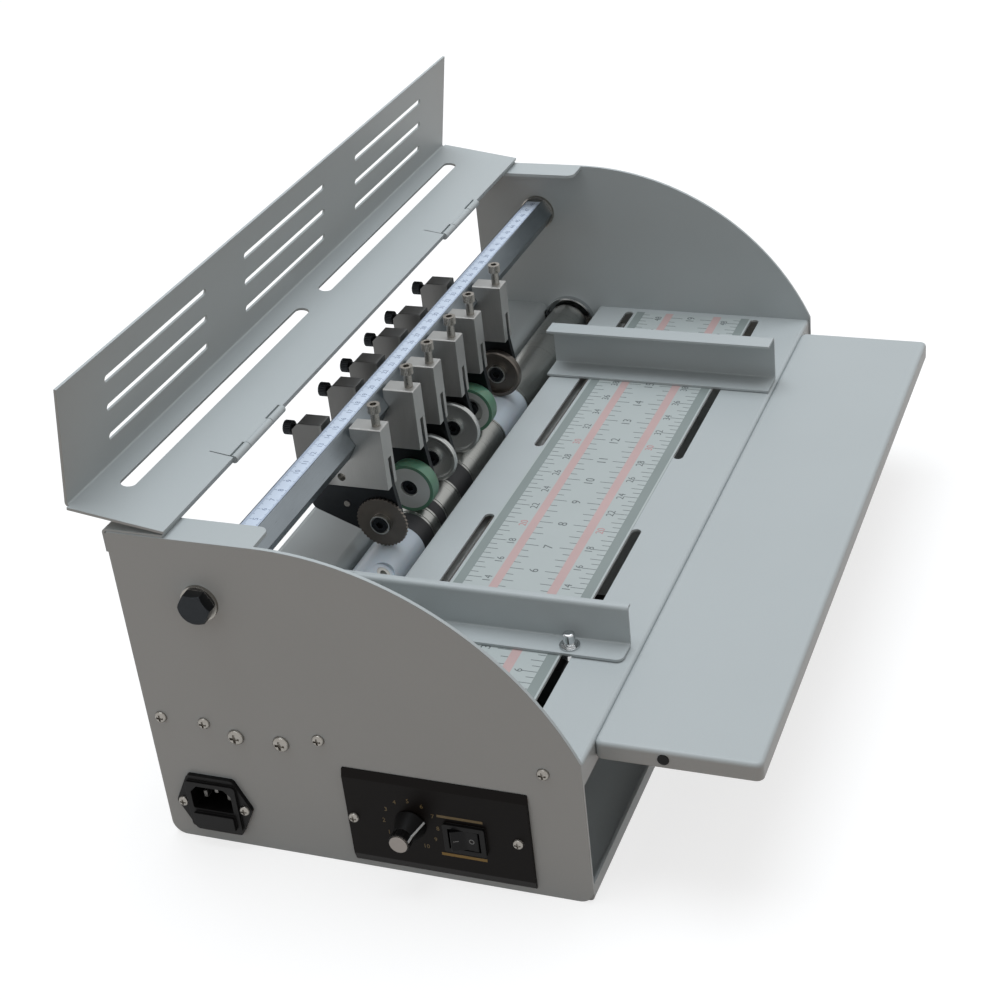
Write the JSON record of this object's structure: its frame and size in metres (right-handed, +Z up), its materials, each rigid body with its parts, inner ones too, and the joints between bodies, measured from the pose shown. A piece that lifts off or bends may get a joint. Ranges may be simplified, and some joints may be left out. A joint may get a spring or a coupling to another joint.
{
  "type": "paper creasing machine",
  "caption": "Desktop creasing and perforating machine: ruled infeed bed with side guides, tool holders on a hexagonal bar over a driven roller, and a hinged rear cover.",
  "frame": {"origin": "centre of the base underside, midway between the side plates", "axes": "+X along the rollers away from the control panel, +Y from the infeed tray towards the hinged cover, +Z up"},
  "size_m": [0.534, 0.3462, 0.2687],
  "materials": {
    "side_plate": "light warm-grey semi-matt powder coat, fine texture",
    "base_pan": "light warm-grey semi-matt powder coat, fine texture",
    "bed": "light warm-grey semi-matt powder coat, fine texture",
    "output_plate": "light warm-grey semi-matt powder coat, fine texture",
    "tray": "light warm-grey semi-matt powder coat, fine texture",
    "rail": "light warm-grey semi-matt powder coat, fine texture",
    "cover": "light warm-grey semi-matt powder coat, fine texture",
    "guide": "light warm-grey semi-matt powder coat, fine texture",
    "ruler": "printed film with plain inch and centimetre scales",
    "tape": "pale blue enamelled steel tape with plain divisions",
    "case_screw": "zinc-plated steel",
    "bearing": "ground bearing steel and dark housings",
    "bar": "drawn hexagonal steel, lightly oiled",
    "bar_bolt": "black oxide steel",
    "motor": "cast gearbox, dark enamelled motor can, plated bracket",
    "board": "solder-masked board with its components",
    "panel": "black panel with plain printed dial",
    "inlet": "black moulded plastic with plated contacts",
    "belt": "toothed rubber belt",
    "shaft": "ground steel shaft and turned pulley",
    "nylon": "white nylon",
    "roller_rubber": "black rubber",
    "roller_steel": "turned and plated steel",
    "pulley": "turned aluminium on a ground steel shaft",
    "knob": "black moulded knob with a light grey cap",
    "rocker": "black rocker with plain on and off marks",
    "guide_screw": "bright plated steel",
    "holder": "milled aluminium",
    "clamp_screw": "black oxide steel, knurled",
    "adjust_screw": "plated socket screw, knurled head",
    "arm": "blackened steel plate with plated pins",
    "tool_wheel": "hardened turned steel",
    "feed_wheel": "green polyurethane tyre on a steel hub"
  },
  "bodies": {
    "case": {"side_plate_left": "side_plate", "side_plate_right": "side_plate", "base_pan": "base_pan", "bed_plate": "bed", "ruler_sheet": "ruler", "infeed_tray": "tray", "output_plate": "output_plate", "top_rail": "rail", "case_screws": "case_screw", "roller_bearings": "bearing", "hex_bar": "bar", "bar_bolts": "bar_bolt", "scale_tape": "tape", "gear_motor": "motor", "electronics": "board", "control_panel": "panel", "power_inlet": "inlet", "drive_belt": "belt"},
    "cover": {"cover": "cover"},
    "roller": {"roller_shaft": "shaft", "roller_nylon": "nylon", "roller_rubber": "roller_rubber", "roller_steel": "roller_steel"},
    "motor_pulley": {"motor_pulley": "pulley"},
    "speed_knob": {"speed_knob": "knob"},
    "switch_rocker": {"switch_rocker": "rocker"},
    "guide_left": {"guide_left": "guide", "guide_left_screws": "guide_screw"},
    "guide_right": {"guide_right": "guide", "guide_right_screws": "guide_screw"},
    "holder_1": {"holder_1": "holder"},
    "clamp_screw_1": {"clamp_screw_1": "clamp_screw"},
    "adjust_screw_1": {"adjust_screw_1": "adjust_screw"},
    "tool_arm_1": {"tool_arm_1": "arm"},
    "tool_wheel_1": {"tool_wheel_1": "tool_wheel"},
    "holder_2": {"holder_2": "holder"},
    "clamp_screw_2": {"clamp_screw_2": "clamp_screw"},
    "adjust_screw_2": {"adjust_screw_2": "adjust_screw"},
    "tool_arm_2": {"tool_arm_2": "arm"},
    "tool_wheel_2": {"tool_wheel_2": "feed_wheel"},
    "holder_3": {"holder_3": "holder"},
    "clamp_screw_3": {"clamp_screw_3": "clamp_screw"},
    "adjust_screw_3": {"adjust_screw_3": "adjust_screw"},
    "tool_arm_3": {"tool_arm_3": "arm"},
    "tool_wheel_3": {"tool_wheel_3": "tool_wheel"},
    "holder_4": {"holder_4": "holder"},
    "clamp_screw_4": {"clamp_screw_4": "clamp_screw"},
    "adjust_screw_4": {"adjust_screw_4": "adjust_screw"},
    "tool_arm_4": {"tool_arm_4": "arm"},
    "tool_wheel_4": {"tool_wheel_4": "tool_wheel"},
    "holder_5": {"holder_5": "holder"},
    "clamp_screw_5": {"clamp_screw_5": "clamp_screw"},
    "adjust_screw_5": {"adjust_screw_5": "adjust_screw"},
    "tool_arm_5": {"tool_arm_5": "arm"},
    "tool_wheel_5": {"tool_wheel_5": "feed_wheel"},
    "holder_6": {"holder_6": "holder"},
    "clamp_screw_6": {"clamp_screw_6": "clamp_screw"},
    "adjust_screw_6": {"adjust_screw_6": "adjust_screw"},
    "tool_arm_6": {"tool_arm_6": "arm"},
    "tool_wheel_6": {"tool_wheel_6": "tool_wheel"}
  },
  "joints": [
    {"name": "cover_hinge", "type": "hinge", "parent": "case", "child": "cover", "pos_m": [0, 0.0867, 0.194], "axis": [1, 0, 0], "range_deg": [0, 171.5]},
    {"name": "roller_spin", "type": "hinge", "parent": "case", "child": "roller", "pos_m": [0, 0.056, 0.0735], "axis": [1, 0, 0], "continuous": true},
    {"name": "motor_spin", "type": "hinge", "parent": "case", "child": "motor_pulley", "pos_m": [-0.2395, 0.056, 0.03], "axis": [1, 0, 0], "continuous": true},
    {"name": "speed_turn", "type": "hinge", "parent": "case", "child": "speed_knob", "pos_m": [-0.2635, -0.025, 0.035], "axis": [-1, 0, 0], "range_deg": [-80, 220]},
    {"name": "rocker_tilt", "type": "hinge", "parent": "case", "child": "switch_rocker", "pos_m": [-0.2555, -0.0548, 0.0313], "axis": [0, 0, 1], "range_deg": [-20, 0]},
    {"name": "guide_left_slide", "type": "slide", "parent": "case", "child": "guide_left", "axis": [1, 0, 0], "range_m": [-0.08, 0.01]},
    {"name": "guide_right_slide", "type": "slide", "parent": "case", "child": "guide_right", "axis": [1, 0, 0], "range_m": [-0.118, 0.073]},
    {"name": "holder_1_slide", "type": "slide", "parent": "case", "child": "holder_1", "axis": [1, 0, 0], "range_m": [-0.025, 0.013]},
    {"name": "clamp_screw_1_turn", "type": "hinge", "parent": "holder_1", "child": "clamp_screw_1", "pos_m": [-0.084, 0.101, 0.161], "axis": [0, 1, 0], "range_deg": [0, 180]},
    {"name": "tool_arm_1_lift", "type": "hinge", "parent": "holder_1", "child": "tool_arm_1", "pos_m": [-0.084, 0.074, 0.1348], "axis": [1, 0, 0], "range_deg": [-6, 0]},
    {"name": "adjust_screw_1_feed", "type": "slide", "parent": "holder_1", "child": "adjust_screw_1", "axis": [0, 0, 1], "range_m": [0, 0.0026]},
    {"name": "tool_wheel_1_spin", "type": "hinge", "parent": "tool_arm_1", "child": "tool_wheel_1", "pos_m": [-0.084, 0.0545, 0.1047], "axis": [1, 0, 0], "continuous": true},
    {"name": "holder_2_slide", "type": "slide", "parent": "case", "child": "holder_2", "axis": [1, 0, 0], "range_m": [-0.013, 0.005]},
    {"name": "clamp_screw_2_turn", "type": "hinge", "parent": "holder_2", "child": "clamp_screw_2", "pos_m": [-0.0365, 0.101, 0.161], "axis": [0, 1, 0], "range_deg": [0, 180]},
    {"name": "tool_arm_2_lift", "type": "hinge", "parent": "holder_2", "child": "tool_arm_2", "pos_m": [-0.0365, 0.074, 0.1348], "axis": [1, 0, 0], "range_deg": [-6, 0]},
    {"name": "adjust_screw_2_feed", "type": "slide", "parent": "holder_2", "child": "adjust_screw_2", "axis": [0, 0, 1], "range_m": [0, 0.0026]},
    {"name": "tool_wheel_2_spin", "type": "hinge", "parent": "tool_arm_2", "child": "tool_wheel_2", "pos_m": [-0.0365, 0.0545, 0.1043], "axis": [1, 0, 0], "continuous": true},
    {"name": "holder_3_slide", "type": "slide", "parent": "case", "child": "holder_3", "axis": [1, 0, 0], "range_m": [-0.005, 0.007]},
    {"name": "clamp_screw_3_turn", "type": "hinge", "parent": "holder_3", "child": "clamp_screw_3", "pos_m": [-0.005, 0.101, 0.161], "axis": [0, 1, 0], "range_deg": [0, 180]},
    {"name": "tool_arm_3_lift", "type": "hinge", "parent": "holder_3", "child": "tool_arm_3", "pos_m": [-0.005, 0.074, 0.1348], "axis": [1, 0, 0], "range_deg": [-6, 0]},
    {"name": "adjust_screw_3_feed", "type": "slide", "parent": "holder_3", "child": "adjust_screw_3", "axis": [0, 0, 1], "range_m": [0, 0.0026]},
    {"name": "tool_wheel_3_spin", "type": "hinge", "parent": "tool_arm_3", "child": "tool_wheel_3", "pos_m": [-0.005, 0.0545, 0.1048], "axis": [1, 0, 0], "continuous": true},
    {"name": "holder_4_slide", "type": "slide", "parent": "case", "child": "holder_4", "axis": [1, 0, 0], "range_m": [-0.007, 0.006]},
    {"name": "clamp_screw_4_turn", "type": "hinge", "parent": "holder_4", "child": "clamp_screw_4", "pos_m": [0.0305, 0.101, 0.161], "axis": [0, 1, 0], "range_deg": [0, 180]},
    {"name": "tool_arm_4_lift", "type": "hinge", "parent": "holder_4", "child": "tool_arm_4", "pos_m": [0.0305, 0.074, 0.1348], "axis": [1, 0, 0], "range_deg": [-6, 0]},
    {"name": "adjust_screw_4_feed", "type": "slide", "parent": "holder_4", "child": "adjust_screw_4", "axis": [0, 0, 1], "range_m": [0, 0.0026]},
    {"name": "tool_wheel_4_spin", "type": "hinge", "parent": "tool_arm_4", "child": "tool_wheel_4", "pos_m": [0.0305, 0.0545, 0.1063], "axis": [1, 0, 0], "continuous": true},
    {"name": "holder_5_slide", "type": "slide", "parent": "case", "child": "holder_5", "axis": [1, 0, 0], "range_m": [-0.006, 0.011]},
    {"name": "clamp_screw_5_turn", "type": "hinge", "parent": "holder_5", "child": "clamp_screw_5", "pos_m": [0.0625, 0.101, 0.161], "axis": [0, 1, 0], "range_deg": [0, 180]},
    {"name": "tool_arm_5_lift", "type": "hinge", "parent": "holder_5", "child": "tool_arm_5", "pos_m": [0.0625, 0.074, 0.1348], "axis": [1, 0, 0], "range_deg": [-6, 0]},
    {"name": "adjust_screw_5_feed", "type": "slide", "parent": "holder_5", "child": "adjust_screw_5", "axis": [0, 0, 1], "range_m": [0, 0.0026]},
    {"name": "tool_wheel_5_spin", "type": "hinge", "parent": "tool_arm_5", "child": "tool_wheel_5", "pos_m": [0.0625, 0.0545, 0.1042], "axis": [1, 0, 0], "continuous": true},
    {"name": "holder_6_slide", "type": "slide", "parent": "case", "child": "holder_6", "axis": [1, 0, 0], "range_m": [-0.011, 0.125]},
    {"name": "clamp_screw_6_turn", "type": "hinge", "parent": "holder_6", "child": "clamp_screw_6", "pos_m": [0.1075, 0.101, 0.161], "axis": [0, 1, 0], "range_deg": [0, 180]},
    {"name": "tool_arm_6_lift", "type": "hinge", "parent": "holder_6", "child": "tool_arm_6", "pos_m": [0.1075, 0.074, 0.1348], "axis": [1, 0, 0], "range_deg": [-6, 0]},
    {"name": "adjust_screw_6_feed", "type": "slide", "parent": "holder_6", "child": "adjust_screw_6", "axis": [0, 0, 1], "range_m": [0, 0.0026]},
    {"name": "tool_wheel_6_spin", "type": "hinge", "parent": "tool_arm_6", "child": "tool_wheel_6", "pos_m": [0.1075, 0.0545, 0.1048], "axis": [1, 0, 0], "continuous": true}
  ],
  "couplings": [
    {"joint": "motor_spin", "follows": "roller_spin", "ratio": 1},
    {"joint": "adjust_screw_1_feed", "follows": "tool_arm_1_lift", "m_per_rad": -0.0245},
    {"joint": "tool_wheel_1_spin", "follows": "roller_spin", "ratio": -0.9434},
    {"joint": "adjust_screw_2_feed", "follows": "tool_arm_2_lift", "m_per_rad": -0.0245},
    {"joint": "tool_wheel_2_spin", "follows": "roller_spin", "ratio": -0.96774},
    {"joint": "adjust_screw_3_feed", "follows": "tool_arm_3_lift", "m_per_rad": -0.0245},
    {"joint": "tool_wheel_3_spin", "follows": "roller_spin", "ratio": -0.9375},
    {"joint": "adjust_screw_4_feed", "follows": "tool_arm_4_lift", "m_per_rad": -0.0245},
    {"joint": "tool_wheel_4_spin", "follows": "roller_spin", "ratio": -0.85714},
    {"joint": "adjust_screw_5_feed", "follows": "tool_arm_5_lift", "m_per_rad": -0.0245},
    {"joint": "tool_wheel_5_spin", "follows": "roller_spin", "ratio": -0.97403},
    {"joint": "adjust_screw_6_feed", "follows": "tool_arm_6_lift", "m_per_rad": -0.0245},
    {"joint": "tool_wheel_6_spin", "follows": "roller_spin", "ratio": -0.9375}
  ]
}
